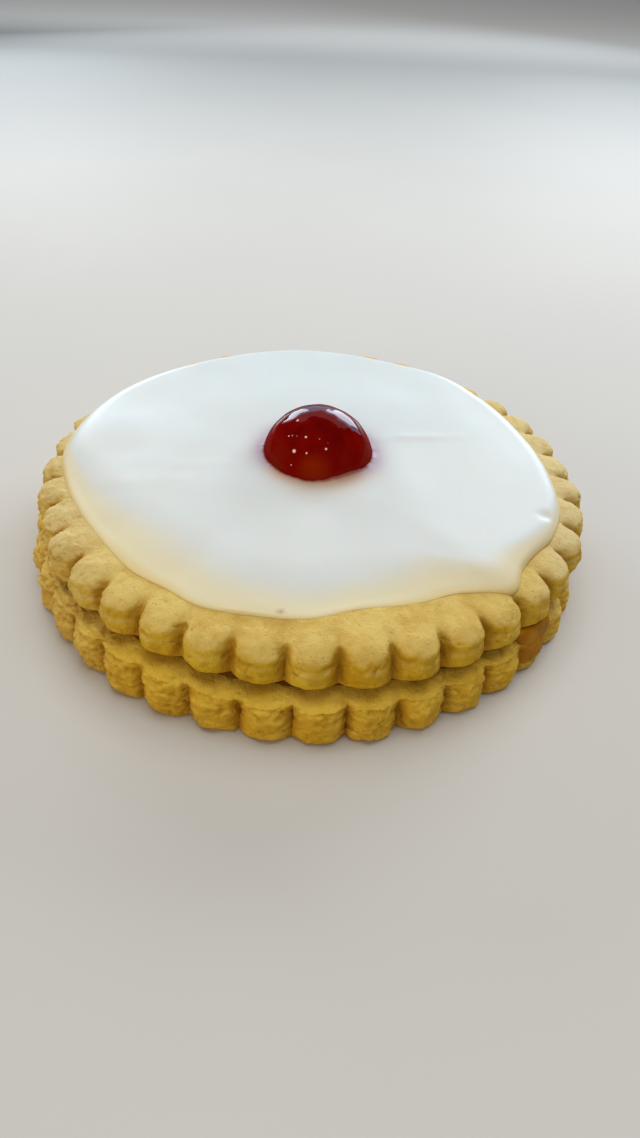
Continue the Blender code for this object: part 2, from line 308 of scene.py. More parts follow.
def carve(bm, relief_at):
    """Move each vertex along its normal by the relief there, and keep the relief in millimetres."""
    relief = bm.verts.layers.float.new("relief")
    for point in bm.verts:
        amount = relief_at(point.co, point.normal)
        point[relief] = amount / MM
        point.co += point.normal * amount


def add_object(name, data):
    """Make an object and put it in the scene."""
    made = bpy.data.objects.new(name, data)
    bpy.context.scene.collection.objects.link(made)
    return made


def mesh_object(name, bm, material):
    """Make the object of a finished bmesh with one material."""
    mesh = bpy.data.meshes.new(name)
    bm.to_mesh(mesh)
    bm.free()
    mesh.materials.append(material)
    return add_object(name, mesh)


def finish_piece(name, bm, material, node):
    """Make the object of a piece, attach it to the root and hide the part of the model that it stands for.
    """
    piece = mesh_object(name, bm, material)
    piece.data.shade_smooth()
    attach(piece, "root")
    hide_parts(node)


# Shortbread rounds

def lobe_place(column):
    """Angle from the first valley and radius of a column of the fluted outline."""
    index, step = divmod(column, COLUMNS_PER_FLUTE)
    turn = LOBE_SWING * (2.0 * step / COLUMNS_PER_FLUTE - 1.0)
    out = LOBE_MIDDLE + LOBE_RADIUS * math.cos(turn)
    across = LOBE_RADIUS * math.sin(turn)
    return (index + 0.5) * FLUTE_PITCH + math.atan2(across, out), math.hypot(across, out)


def edge_distance(angle, radius):
    """How far inside the fluted outline a point lies; the angle is from the first valley."""
    swing = math.remainder(angle - FLUTE_PITCH / 2.0, FLUTE_PITCH)
    across = radius * math.sin(swing)
    out = radius * math.cos(swing) - LOBE_MIDDLE
    if out > 0.0 and abs(math.atan2(across, out)) <= LOBE_SWING:
        return LOBE_RADIUS - math.hypot(across, out)
    return math.hypot(HALF_CHORD - abs(across), LOBE_REACH - out)


def shoulder_drop(biscuit, distance):
    """How far the rounded shoulder has fallen at a distance inside the outline."""
    if distance >= biscuit.shoulder_in:
        return 0.0
    share = 1.0 - max(0.0, distance) / biscuit.shoulder_in
    return biscuit.shoulder_down * (1.0 - math.sqrt(1.0 - share * share))


FACE_WAVE_FROM = 0.8 * FLAT_RADIUS
PILLOW_INSET = 2.8 * MM
PILLOW_WIDTH = 1.8 * MM
NOTCH_WIDTH = 0.72 * MM
NOTCH_LENGTH = 1.5 * MM
UNDERSIDE_INSETS = (30.0, 16.0, 8.0, 4.0, 2.0, 0.8)
WALL_FOOT = (0.0, 0.06, 0.16, 0.3, 0.5, 0.75)
SHOULDER_STEPS = 11
RIM_WOBBLE_REACH = 2.6 * MM


def face_height(biscuit, angle, radius):
    """Height of a round's face at an angle and radius from its own middle."""
    local = angle - biscuit.first_valley
    swing = math.remainder(local - FLUTE_PITCH / 2.0, FLUTE_PITCH)
    lobe = math.cos(math.pi * swing / FLUTE_PITCH) ** 2
    offset = outward(angle, radius)
    height = biscuit.thickness + slope_height(biscuit.face_slope, offset) - rim_fall(radius)
    height -= shoulder_drop(biscuit, edge_distance(local, radius))
    at_rim = smooth(radius, FACE_WAVE_FROM, VALLEY_RADIUS)
    height += FACE_WAVE * wave(angle, FACE_WAVE_TURNS, biscuit.seed + 1) * at_rim
    inset = VALLEY_RADIUS + LOBE_DEPTH - radius
    height += biscuit.pillow_rise * lobe * bell(inset - PILLOW_INSET, PILLOW_WIDTH)
    from_valley = radius * abs(math.remainder(local, FLUTE_PITCH))
    inward = max(0.0, VALLEY_RADIUS - radius)
    height -= biscuit.notch_depth * bell(from_valley, NOTCH_WIDTH) * math.exp(-inward / NOTCH_LENGTH)
    return height + biscuit.base


Station = namedtuple("Station", "face inset height")


def round_stations(biscuit):
    """Stations of a round's section, from the middle of its underside to that of its face."""
    rows = [Station(False, inset * MM, 0.0) for inset in UNDERSIDE_INSETS]
    rows += [Station(False, 0.0, height * MM) for height in WALL_FOOT]
    foot_top = WALL_FOOT[-1] * MM
    wall_top = biscuit.wall[-1][0] * MM
    rise = wall_top - foot_top
    wall_steps = round(rise / ROW_STEP)
    for step in range(1, wall_steps):
        rows.append(Station(False, 0.0, foot_top + rise * step / wall_steps))
    for step in range(SHOULDER_STEPS + 1):
        turn = QUARTER_TURN * step / SHOULDER_STEPS
        rows.append(Station(True, biscuit.shoulder_in * (1.0 - math.cos(turn)), wall_top))
    rows += [Station(True, inset * MM, wall_top) for inset in biscuit.face_insets]
    return rows


Column = namedtuple("Column", "angle lobe uneven lobe_change rim rim_wobble drift fold lip")


def along(places, value):
    """Values that change smoothly from one (place, first value, second value) to the next."""
    if value <= places[0][0]:
        return places[0][1:]
    for start, end in zip(places, places[1:]):
        if value <= end[0]:
            share = smooth(value, start[0], end[0])
            return [first + (last - first) * share for first, last in zip(start[1:], end[1:])]
    return places[-1][1:]


# The back left of the upper round is worn back a little.
BACK_RETREAT = 0.8 * MM
BACK_RETREAT_ANGLE = 153.0 * DEGREE
BACK_RETREAT_WIDTH = 18.0 * DEGREE

# A soft fold runs round the upper wall, and a crease round the lower one.
FOLD_HEIGHT = 3.3 * MM
FOLD_DEPTH = 0.13 * MM
FOLD_WIDTH = 0.3 * MM
CREASE_HEIGHT = 1.9 * MM
CREASE_DEPTH = 0.22 * MM
FOLD_SEED_STEP = 100
LOBE_DRIFT = 0.4
FOLD_DRIFT = 0.3
FOLD_DRIFT_TURNS = 9.0
FOLD_TURNS = 12.0

# Unevenness of the rim in millimetres, and of the lip between the flutes.
RIM_WOBBLE = 0.2
RIM_WOBBLE_TURNS = 11.0
RIM_FINE_WOBBLE = 0.12
RIM_FINE_TURNS = 27.0
UPPER_RIM_SHARE = 0.3
LIP_TURNS = 8.0
LIP_FINE_TURNS = 23.0
# Where the waves along a lip or a fold start to show and are in full.
LIP_RANGE = (-0.7, 0.8)
FOLD_RANGE = (-0.7, 0.3)


def round_columns(biscuit):
    """The columns of a round's outline, each lobe with a size and a fold of its own."""
    draw = random.Random(biscuit.seed)
    fold_draw = random.Random(biscuit.seed + FOLD_SEED_STEP)
    wobble = 1.0 if biscuit is LOWER_ROUND else UPPER_RIM_SHARE
    columns = []
    for index in range(FLUTES):
        lobe_change = draw.uniform(-LOBE_SPREAD, LOBE_SPREAD)
        lobe_fold = draw.uniform(0.0, 1.0)
        lobe_drift = fold_draw.uniform(-LOBE_DRIFT, LOBE_DRIFT) * MM
        for step in range(COLUMNS_PER_FLUTE):
            turn, outline = lobe_place(index * COLUMNS_PER_FLUTE + step)
            angle = biscuit.first_valley + turn
            uneven = WALL_WAVE * wave(angle, WALL_WAVE_TURNS, biscuit.seed)
            uneven += biscuit.spread.x * math.cos(angle) + biscuit.spread.y * math.sin(angle)
            if biscuit is UPPER_ROUND:
                uneven -= BACK_RETREAT * bell(apart(angle, BACK_RETREAT_ANGLE), BACK_RETREAT_WIDTH)
            lobe = (outline - VALLEY_RADIUS) / LOBE_DEPTH
            rim = face_height(biscuit, angle, outline)
            rim_wobble = RIM_WOBBLE * wave(angle, RIM_WOBBLE_TURNS, biscuit.seed + 8)
            rim_wobble += RIM_FINE_WOBBLE * wave(angle, RIM_FINE_TURNS, biscuit.seed + 9)
            drift = lobe_drift * lobe + FOLD_DRIFT * MM * wave(angle, FOLD_DRIFT_TURNS, biscuit.seed + 4)
            ragged = wave(angle, LIP_TURNS, biscuit.seed + 6)
            ragged += 0.5 * wave(angle, LIP_FINE_TURNS, biscuit.seed + 7)
            lip = smooth(ragged, *LIP_RANGE)
            fold = lobe_fold * lobe * smooth(wave(angle, FOLD_TURNS, biscuit.seed + 5), *FOLD_RANGE)
            rim_wobble *= wobble * MM
            columns.append(Column(angle, lobe, uneven, lobe_change, rim, rim_wobble, drift, fold, lip))
    return columns


WALL_REACH = 2.4 * MM
# Heights where the lower wall's lip starts and where the upper wall's burrs end.
LIP_HEIGHTS = (4.8 * MM, 5.6 * MM)
LIP_CREST = 0.2
BURR_HEIGHTS = (0.6 * MM, 1.4 * MM)
BURR_SWING = 1.5
CREASE_LEAST = 0.3


def wall_outset(biscuit, station, column):
    """How far the wall of a round stands out from the plain fluted outline."""
    crest, valley = along(biscuit.wall, station.height / MM)
    reach = 1.0 - smooth(station.inset, 0.0, WALL_REACH) if station.face else 1.0
    in_valley = (1.0 - column.lobe) ** biscuit.valley_power
    if biscuit is LOWER_ROUND:
        lip_share = smooth(station.height, *LIP_HEIGHTS)
        valley *= 1.0 + lip_share * (column.lip - 0.7)
        crest += LIP_CREST * lip_share * (column.lip - 0.5)
        from_crease = station.height - CREASE_HEIGHT - column.drift
        cut = CREASE_DEPTH * (CREASE_LEAST + column.fold) * bell(from_crease, FOLD_WIDTH)
    else:
        burr_share = 1.0 - smooth(station.height, *BURR_HEIGHTS)
        valley *= 1.0 + BURR_SWING * burr_share * (column.lip - 0.5)
        cut = FOLD_DEPTH * column.fold * bell(station.height - FOLD_HEIGHT - column.drift, FOLD_WIDTH)
    if station.face:
        cut = 0.0
    return reach * (crest + (valley - crest) * in_valley) * MM - cut


def round_place(biscuit, station, column):
    """Place of one vertex of a round."""
    share = 1.0 - smooth(station.inset, 0.0, FLUTE_REACH)
    plain = VALLEY_RADIUS - station.inset + share * column.lobe * LOBE_DEPTH
    inside = 1.0 - station.inset / VALLEY_RADIUS
    radius = plain + inside * column.uneven + share * column.lobe * column.lobe_change
    radius += wall_outset(biscuit, station, column) * (inside if station.height == 0.0 else 1.0)
    offset = outward(column.angle, radius)
    if station.face:
        height = face_height(biscuit, column.angle, plain)
        height += column.rim_wobble * (1.0 - smooth(station.inset, 0.0, RIM_WOBBLE_REACH))
    else:
        rise = station.height / (biscuit.wall[-1][0] * MM)
        foot = biscuit.base + slope_height(biscuit.base_slope, offset)
        height = foot + rise * (column.rim - foot) + rise ** 4 * column.rim_wobble
    return raised(biscuit.centre + offset, height)


# Sizes and heights of the baked unevenness in millimetres.
LUMP_SIZE, LUMP_RISE = 4.5, 0.18
KNOB_SIZE, KNOB_RISE = 1.7, 0.13
GRIT_SIZE, GRIT_RISE = 0.75, 0.08
LAYER_SIZE, LAYER_PITCH = 2.2, 0.8
CRACK_PATCH_SIZE, CRACK_SIZE, CRACK_WIDTH, CRACK_DEPTH = 6.0, 2.6, 0.05, 0.14
PIT_PITCH, PIT_SIZE, PIT_DEPTH, PIT_CHOICE = 1.4, 0.34, 0.2, 0.12
CRUMB_PITCH, CRUMB_SHIFT_SIZE, CRUMB_SHIFT, CRUMB_RISE = 0.9, 1.1, 0.35, 0.16
CRUMB_EDGE = 0.35
CRUMB_FROM_ROUGH = 1.2
LUMP_FROM_ROUGH = 0.6
SEED_HEIGHT = 31.0


def crumb_relief(spot, seed, rough, flakes):
    """Baked unevenness: lumps, knobs, grit, flaky layers, crumb, cracks and pits."""
    place = spot / MM + Vector((0.0, 0.0, SEED_HEIGHT * seed))
    lumps = LUMP_RISE * max(1.0, rough - LUMP_FROM_ROUGH) * noise.noise(place / LUMP_SIZE)
    knobs = KNOB_RISE * rough * noise.noise(place / KNOB_SIZE)
    grit = GRIT_RISE * rough * noise.noise(place / GRIT_SIZE)
    flaky = noise.noise(Vector((place.x / LAYER_SIZE, place.y / LAYER_SIZE, place.z / LAYER_PITCH)))
    layers = flakes * smooth(flaky, 0.02, 0.22)
    cracked = smooth(noise.noise(place / CRACK_PATCH_SIZE + Vector((9.0, 0.0, 0.0))), 0.0, 0.3)
    across_crack = noise.noise(place / CRACK_SIZE + Vector((0.0, 5.0, 0.0)))
    crack = CRACK_DEPTH * rough * cracked * bell(across_crack, CRACK_WIDTH)
    distances, centres = noise.voronoi(place / PIT_PITCH)
    pit = 0.0
    if noise.noise(centres[0] * 3.7) > PIT_CHOICE:
        pit = PIT_DEPTH * rough * (1.0 - smooth(distances[0], 0.0, PIT_SIZE))
    crumb = 0.0
    if rough > CRUMB_FROM_ROUGH:
        shift = CRUMB_SHIFT * noise.noise(place / CRUMB_SHIFT_SIZE)
        nearest, _ = noise.voronoi(place / CRUMB_PITCH + Vector((shift, 0.0, 7.0)))
        crumb = CRUMB_RISE * (rough - CRUMB_FROM_ROUGH) * smooth(nearest[1] - nearest[0], 0.0, CRUMB_EDGE)
    return (lumps + knobs + grit + layers + crumb - crack - pit) * MM


# The left of the biscuit is coarser, in full from the second distance on.
COARSE = 1.1
COARSE_FROM = 18.0 * MM
COARSE_TO = 34.0 * MM
# The relief fades at the foot of a wall and where the icing covers the face.
FOOT_FADE = (0.1 * MM, 0.6 * MM)
ICING_FADE = (-0.4 * MM, 0.7 * MM)
PLAIN_RADIUS = 0.7 * VALLEY_RADIUS


def round_relief(biscuit, spot, normal):
    """Relief of a round at a place on its surface."""
    offset = spot.to_2d() - biscuit.centre
    if offset.length < PLAIN_RADIUS:
        return 0.0
    height = spot.z - biscuit.base - slope_height(biscuit.base_slope, offset)
    side = 1.0 - smooth(abs(normal.z), 0.5, 0.95)
    coarse = COARSE * smooth(-spot.x, COARSE_FROM, COARSE_TO)
    rough = (biscuit.rough + coarse) * (0.6 + 0.4 * max(side, 0.8 * coarse))
    relief = crumb_relief(spot, biscuit.seed, rough, biscuit.flakes * side)
    if biscuit is UPPER_ROUND and normal.z > 0.0:
        edge = curve_at(ICING_EDGE, math.atan2(offset.y, offset.x)) * MM
        relief *= smooth(offset.length - edge, *ICING_FADE)
    return relief * smooth(height, *FOOT_FADE)


# How ragged the border of a stain is, how high it reaches, and how wide the shade of a groove is.
TINGE_RAGGED_TURN, TINGE_RAGGED_RISE = 1.6 * DEGREE, 1.2 * MM
STAIN_RAGGED_TURN, STAIN_RAGGED_RISE = 0.8 * DEGREE, 0.7 * MM
TINGE_HEIGHTS = (2.2 * MM, 4.4 * MM)
STAIN_HEIGHTS = (1.2 * MM, 2.4 * MM)
GROOVE_WIDTHS = (0.1 * MM, 1.6 * MM)


def jam_stain(biscuit, spot, angle):
    """How much jam has run over the lower wall, or tinged the upper one, at a place."""
    ragged = 0.8 * noise.noise(spot / (1.1 * MM)) + 0.5 * noise.noise(spot / (0.45 * MM))
    if biscuit is UPPER_ROUND:
        across = apart(angle, TINGE_ANGLE) + TINGE_RAGGED_TURN * ragged
        height = spot.z - biscuit.base + TINGE_RAGGED_RISE * ragged
        below = 1.0 - smooth(height, *TINGE_HEIGHTS)
        return TINGE_SHARE * below * (1.0 - smooth(across, 0.5 * TINGE_WIDTH, TINGE_WIDTH))
    across = apart(angle, JAM_STAIN_ANGLE) + STAIN_RAGGED_TURN * ragged
    height = spot.z + STAIN_RAGGED_RISE * ragged
    beside = smooth(across, 0.8 * JAM_STAIN_WIDTH, JAM_STAIN_WIDTH)
    return (1.0 - beside) * smooth(height, *STAIN_HEIGHTS)


def shortbread_round(name, biscuit, material):
    """One baked round with its fluted wall, soft shoulder and crumb."""
    stations = round_stations(biscuit)
    columns = round_columns(biscuit)

    def place(row, column):
        if row in (0, len(stations) + 1):
            return raised(biscuit.centre, biscuit.base + (biscuit.thickness if row else 0.0))
        return round_place(biscuit, stations[row - 1], columns[column])

    bm = turned(len(stations) + 2, len(columns), place)
    # Painted shade along the valleys of the walls, kept on the mesh.
    groove = bm.verts.layers.float.new("groove")
    stain = bm.verts.layers.float.new("stain")
    for point in bm.verts:
        offset = point.co.to_2d() - biscuit.centre
        angle = math.atan2(offset.y, offset.x)
        from_valley = abs(math.remainder(angle - biscuit.first_valley, FLUTE_PITCH))
        near = 1.0 - smooth(VALLEY_RADIUS * from_valley, *GROOVE_WIDTHS)
        upright = 1.0 - smooth(abs(point.normal.z), 0.3, 0.9)
        point[groove] = near * upright * smooth(offset.length, 0.9 * FLAT_RADIUS, FLAT_RADIUS)
        point[stain] = jam_stain(biscuit, point.co, angle)
    carve(bm, lambda spot, normal: round_relief(biscuit, spot, normal))
    finish_piece(name + "_baked", bm, material, name)


# Jam

def jam_run(angle):
    """How strongly the jam is pressed out at an angle."""
    return 1.0 - smooth(apart(angle, JAM_RUN_ANGLE), JAM_RUN_FLAT, JAM_RUN_END)


def jam_radius(angle):
    """Uneven edge of the jam, with one place where it has been pressed out."""
    radius = JAM_RADIUS + JAM_WAVE * min(JAM_WAVE_LIMIT, wave(angle, JAM_WAVE_TURNS, JAM_SEED))
    radius += JAM_RIPPLE * wave(angle, JAM_RIPPLE_TURNS, JAM_SEED + 1)
    return radius + JAM_RUN_REACH * jam_run(angle)


def jam_layer(material):
    """The jam between the rounds, with a soft bulging edge."""
    shares = [(inset, 0.0) for inset in JAM_INSETS]
    for step in range(JAM_BULGE_STEPS + 1):
        turn = math.pi * (step / JAM_BULGE_STEPS - 0.5)
        shares.append((JAM_BULGE * (1.0 - math.cos(turn)), 0.5 + 0.5 * math.sin(turn)))
    shares += [(inset, 1.0) for inset in reversed(JAM_INSETS)]
    low = LOWER_ROUND.thickness
    high = UPPER_ROUND.base

    def place(row, column):
        if row in (0, len(shares) + 1):
            return raised(STACK_CENTRE, high if row else low)
        inset, share = shares[row - 1]
        angle = FULL_TURN * column / JAM_COLUMNS
        radius = jam_radius(angle) + JAM_BULGE - inset
        offset = outward(angle, radius)
        bottom = low + slope_height(LOWER_ROUND.face_slope, offset + STACK_SHIFT / 2.0)
        top = high + slope_height(UPPER_ROUND.base_slope, offset - STACK_SHIFT / 2.0)
        height = bottom + share * (top - bottom)
        droop = JAM_RUN_DROOP * jam_run(angle) * (1.0 - share)
        height -= droop * smooth(radius, *JAM_DROOP_RADII)
        return raised(STACK_CENTRE + offset, height)

    bm = turned(len(shares) + 2, JAM_COLUMNS, place)
    pressed = bm.verts.layers.float.new("pressed")
    for point in bm.verts:
        point[pressed] = jam_run(math.atan2(point.co.y - STACK_CENTRE.y, point.co.x - STACK_CENTRE.x))
    finish_piece("jam_set", bm, material, "jam")


# Icing

IcingColumn = namedtuple("IcingColumn", "angle edge band bead cream")


def icing_column(angle):
    """Where the icing's edge lies at an angle, and how the icing thins towards it."""
    edge, band, cream = (curve_at(places, angle) * MM for places in (ICING_EDGE, ICING_BAND, ICING_CREAM))
    return IcingColumn(angle, edge, band, curve_at(ICING_BEAD, angle), cream)


# Part of the icing's fall towards its edge happens over this longer way.
LONG_FALL = 22.0 * MM
LONG_FALL_SHARE = 0.4
STEEP_POWER = 2.2
BEAD_RANGE = (0.05, 0.45)


def icing_share(column, inset):
    """Share of its thickness that the icing has at a distance in from its edge."""
    bead_width = (0.3 + 1.3 * column.bead) * MM
    round_share = min(1.0, inset / bead_width)
    edge = column.bead * math.sqrt(1.0 - (1.0 - round_share) ** 2)
    flush = (1.0 - LONG_FALL_SHARE) * smooth(inset, 0.0, column.band)
    flush += LONG_FALL_SHARE * smooth(inset, 0.0, LONG_FALL)
    steep = 1.0 - (1.0 - min(1.0, inset / column.band)) ** STEEP_POWER
    rise = flush + (steep - flush) * smooth(column.bead, *BEAD_RANGE)
    return edge + (1.0 - column.bead) * rise


# Soft features of the poured icing: start, end, half width and rise in millimetres from its middle.
ICING_RIDGES = (
    ((9.5, 6.2), (14.0, 7.6), 1.1, 0.05),
    ((14.0, 7.6), (18.0, 8.1), 1.0, 0.07),
    ((18.0, 8.1), (22.5, 8.5), 1.1, 0.04),
    ((-20.8, -4.2), (-13.5, -2.9), 1.4, 0.06),
    ((-30.8, -8.9), (-18.8, -7.7), 1.8, 0.07),
    ((-29.5, -0.6), (-28.3, -0.6), 3.5, -0.14),
    ((33.0, -11.7), (33.2, -11.6), 0.9, -0.3),
    ((-10.4, -33.2), (-3.9, -34.1), 0.5, 0.1),
)


def ridge_rise(ridge, spot):
    """Rise of one long soft feature at a spot in millimetres."""
    start, end, width, rise = ridge
    start = Vector(start)
    run = Vector(end) - start
    share = min(1.0, max(0.0, (spot - start).dot(run) / run.length_squared))
    return rise * bell((spot - start - share * run).length, width)


def icing_relief(column, offset, inset):
    """Soft unevenness of the poured icing."""
    place = Vector((offset.x / MM, offset.y / MM, 4.0))
    relief = 0.2 * noise.noise(place / 14.0) + 0.08 * noise.noise(place / 6.0)
    relief += 0.05 * smooth(column.bead, 0.3, 0.7) * bell(inset - 2.0 * MM, 1.0 * MM)
    relief *= smooth(inset, 0.2 * MM, 2.0 * MM)
    spot = place.to_2d()
    relief += sum(ridge_rise(ridge, spot) for ridge in ICING_RIDGES)
    return relief * smooth(inset, 0.0, 0.5 * MM) * MM


BRIDGE_REACH = 2.0 * MM
BRIDGE_FALL = 0.25 * MM


def smooth_face(angle, radius):
    """Height of the upper round's face without its flutes, where the icing bridges them."""
    offset = outward(angle, radius)
    height = UPPER_FACE + slope_height(UPPER_ROUND.face_slope, offset)
    past = max(0.0, radius - (VALLEY_RADIUS - BRIDGE_REACH)) / BRIDGE_REACH
    return height - rim_fall(radius) - BRIDGE_FALL * past ** 2


# Colour from the cherry that has bled into the icing, with the cherry's painted shadow in front of it, and
# one small brown speck near the front edge.
BLEED_START = 8.4 * MM
BLEED_WIDTH = 2.1 * MM
SPECK_OFFSET = Vector((-3.6 * MM, -33.1 * MM))
SPECK_RADIUS = 0.4 * MM
# How deep the icing lies in the round, and how it climbs at the foot of the cherry.
ICING_SUNK = 0.3 * MM
ICING_EDGE_SUNK = 0.05 * MM
MENISCUS_RISE = 0.35 * MM
MENISCUS_WIDTH = 0.6 * MM
CLIMB_ANGLE = -58.0 * DEGREE
CLIMB_WIDTH = 24.0 * DEGREE
CLIMB_RISE = 0.95 * MM


def meniscus(offset):
    """How far the icing climbs at the foot of the cherry, most of all at its front right."""
    away = offset - CHERRY_OFFSET
    from_cherry = away.length - CHERRY_RADIUS
    inside = smooth(from_cherry, -1.5 * MM, -0.2 * MM)
    turn = math.atan2(away.y, away.x)
    climb = bell(apart(turn, CLIMB_ANGLE), CLIMB_WIDTH)
    ragged = 0.3 * wave(turn, 3.0, 21) + 0.2 * wave(turn, 11.0, 22)
    rise = MENISCUS_RISE * (0.75 + ragged) + CLIMB_RISE * climb
    return rise * math.exp(-max(0.0, from_cherry) / MENISCUS_WIDTH) * inside


def icing_offset(step, column, turned_out):
    """Place of a row of the icing's top: outer rows follow its edge, inner ones the cherry."""
    if step < len(ICING_INSETS):
        return (column.edge - ICING_INSETS[step] * MM) * turned_out
    start = (column.edge - ICING_INSETS[-1] * MM) * turned_out
    first_ring = CHERRY_OFFSET + ICING_INNER[0] * MM * turned_out
    step -= len(ICING_INSETS)
    if step < ICING_MIDDLE_ROWS:
        return start.lerp(first_ring, (step + 1) / (ICING_MIDDLE_ROWS + 1))
    return CHERRY_OFFSET + ICING_INNER[step - ICING_MIDDLE_ROWS] * MM * turned_out


def icing_layer(material):
    """Set water icing with a rounded, uneven edge that thins towards the front left."""
    columns = [icing_column(FULL_TURN * index / ICING_COLUMNS) for index in range(ICING_COLUMNS)]
    under = len(ICING_UNDER_INSETS)
    rows = under + len(ICING_INSETS) + ICING_MIDDLE_ROWS + len(ICING_INNER)

    def place(row, index):
        column = columns[index]
        if row in (0, rows + 1):
            return raised(UPPER_ROUND.centre, UPPER_FACE + (ICING_THICKNESS if row else -ICING_SUNK))
        turned_out = outward(column.angle, 1.0)
        if row <= under:
            offset = max(0.5 * MM, column.edge - ICING_UNDER_INSETS[row - 1] * MM) * turned_out
            height = face_height(UPPER_ROUND, column.angle, offset.length) - ICING_SUNK
            return raised(UPPER_ROUND.centre + offset, height)
        offset = icing_offset(row - under - 1, column, turned_out)
        angle = math.atan2(offset.y, offset.x)
        inset = max(0.0, column.edge - offset.length)
        height = smooth_face(angle, offset.length) + icing_share(column, inset) * ICING_THICKNESS
        height += icing_relief(column, offset, inset) + meniscus(offset)
        if row == under + 1:
            height = min(height, face_height(UPPER_ROUND, column.angle, column.edge)) - ICING_EDGE_SUNK
        return raised(UPPER_ROUND.centre + offset, height)

    bm = turned(rows + 2, ICING_COLUMNS, place)
    cream = bm.verts.layers.float.new("cream")
    bleed_and_shadow = bm.verts.layers.float.new("bleed_and_shadow")
    speck = bm.verts.layers.float.new("speck")
    for point in bm.verts:
        offset = point.co.to_2d() - UPPER_ROUND.centre
        turn = math.atan2(offset.y, offset.x) / FULL_TURN
        column = columns[round(turn * ICING_COLUMNS) % ICING_COLUMNS]
        inset = max(0.0, column.edge - offset.length)
        point[cream] = max(0.0, 1.0 - inset / column.cream)
        # Cherry colour bled into the icing, and in front of the cherry its painted shadow.
        past_cherry = max(0.0, (offset - CHERRY_OFFSET).length - BLEED_START)
        point[bleed_and_shadow] = math.exp(-past_cherry / BLEED_WIDTH)
        point[speck] = bell((offset - SPECK_OFFSET).length, SPECK_RADIUS)
    finish_piece("icing_set", bm, material, "icing")


# Cherry

def dome_height(out):
    """Height of the cherry's plain dome above the icing at a distance from its middle."""
    power = 2.0 / CHERRY_TAPER
    return CHERRY_HEIGHT * max(0.0, 1.0 - (out / CHERRY_RADIUS) ** power) ** (1.0 / power)


def cherry_foot():
    """Middle of the cherry's cut side, where it meets the icing."""
    spot = UPPER_ROUND.centre + CHERRY_OFFSET
    slope = slope_height(UPPER_ROUND.face_slope, CHERRY_OFFSET)
    return raised(spot, UPPER_FACE + ICING_THICKNESS + slope)


def glint_places():
    """Places of the painted glints on the dome, and their sizes."""
    foot = cherry_foot()
    glint_spots = []
    for x, y, size in CHERRY_GLINT_SPOTS:
        offset = Vector((x * MM, y * MM, dome_height(math.hypot(x, y) * MM)))
        glint_spots.append((foot + offset, size * MM))
    return glint_spots


def cherry_half(material):
    """Half a glace cherry, cut side down, with a soft uneven skin."""
    foot = cherry_foot()
    section = [(out, -CHERRY_SUNK) for out in (0.0, 0.5 * CHERRY_RADIUS, CHERRY_RADIUS - CHERRY_TUCK)]
    section.append((CHERRY_RADIUS - 0.3 * CHERRY_TUCK, -0.5 * CHERRY_SUNK))
    for row in range(CHERRY_ROWS):
        turn = QUARTER_TURN * row / CHERRY_ROWS
        out = CHERRY_RADIUS * math.cos(turn) ** CHERRY_TAPER
        section.append((out, CHERRY_HEIGHT * math.sin(turn) ** CHERRY_TAPER))
    section.append((0.0, CHERRY_HEIGHT))

    def place(row, column):
        out, up = section[row]
        angle = FULL_TURN * column / CHERRY_COLUMNS
        return foot + Vector((out * math.cos(angle), out * math.sin(angle), up))

    bm = turned(len(section), CHERRY_COLUMNS, place)
    glint_spots = glint_places()

    def skin(point, normal):
        at = point / MM
        relief = 0.13 * noise.noise(at / 4.0) + 0.04 * noise.noise(at / 1.5)
        # Small bumps under the painted glints.
        grain = sum(GLINT_BUMP_RISE * bell((point - spot).length, 0.8 * size) for spot, size in glint_spots)
        return relief * MM * smooth(normal.z, -0.5, 0.0) + grain

    carve(bm, skin)
    finish_piece("cherry_glazed", bm, material, "cherry")


# Materials

class Link:
    """A socket of a recipe; arithmetic on it adds Math nodes."""

    def __init__(self, recipe, socket):
        self.recipe = recipe
        self.socket = socket

    def math(self, operation, first, second):
        return self.recipe.add("ShaderNodeMath", {"operation": operation}, {0: first, 1: second})

    def __add__(self, other):
        return self.math("ADD", self, other)

    __radd__ = __add__

    def __sub__(self, other):
        return self.math("SUBTRACT", self, other)

    def __rsub__(self, other):
        return self.math("SUBTRACT", other, self)

    def __mul__(self, other):
        return self.math("MULTIPLY", self, other)

    __rmul__ = __mul__


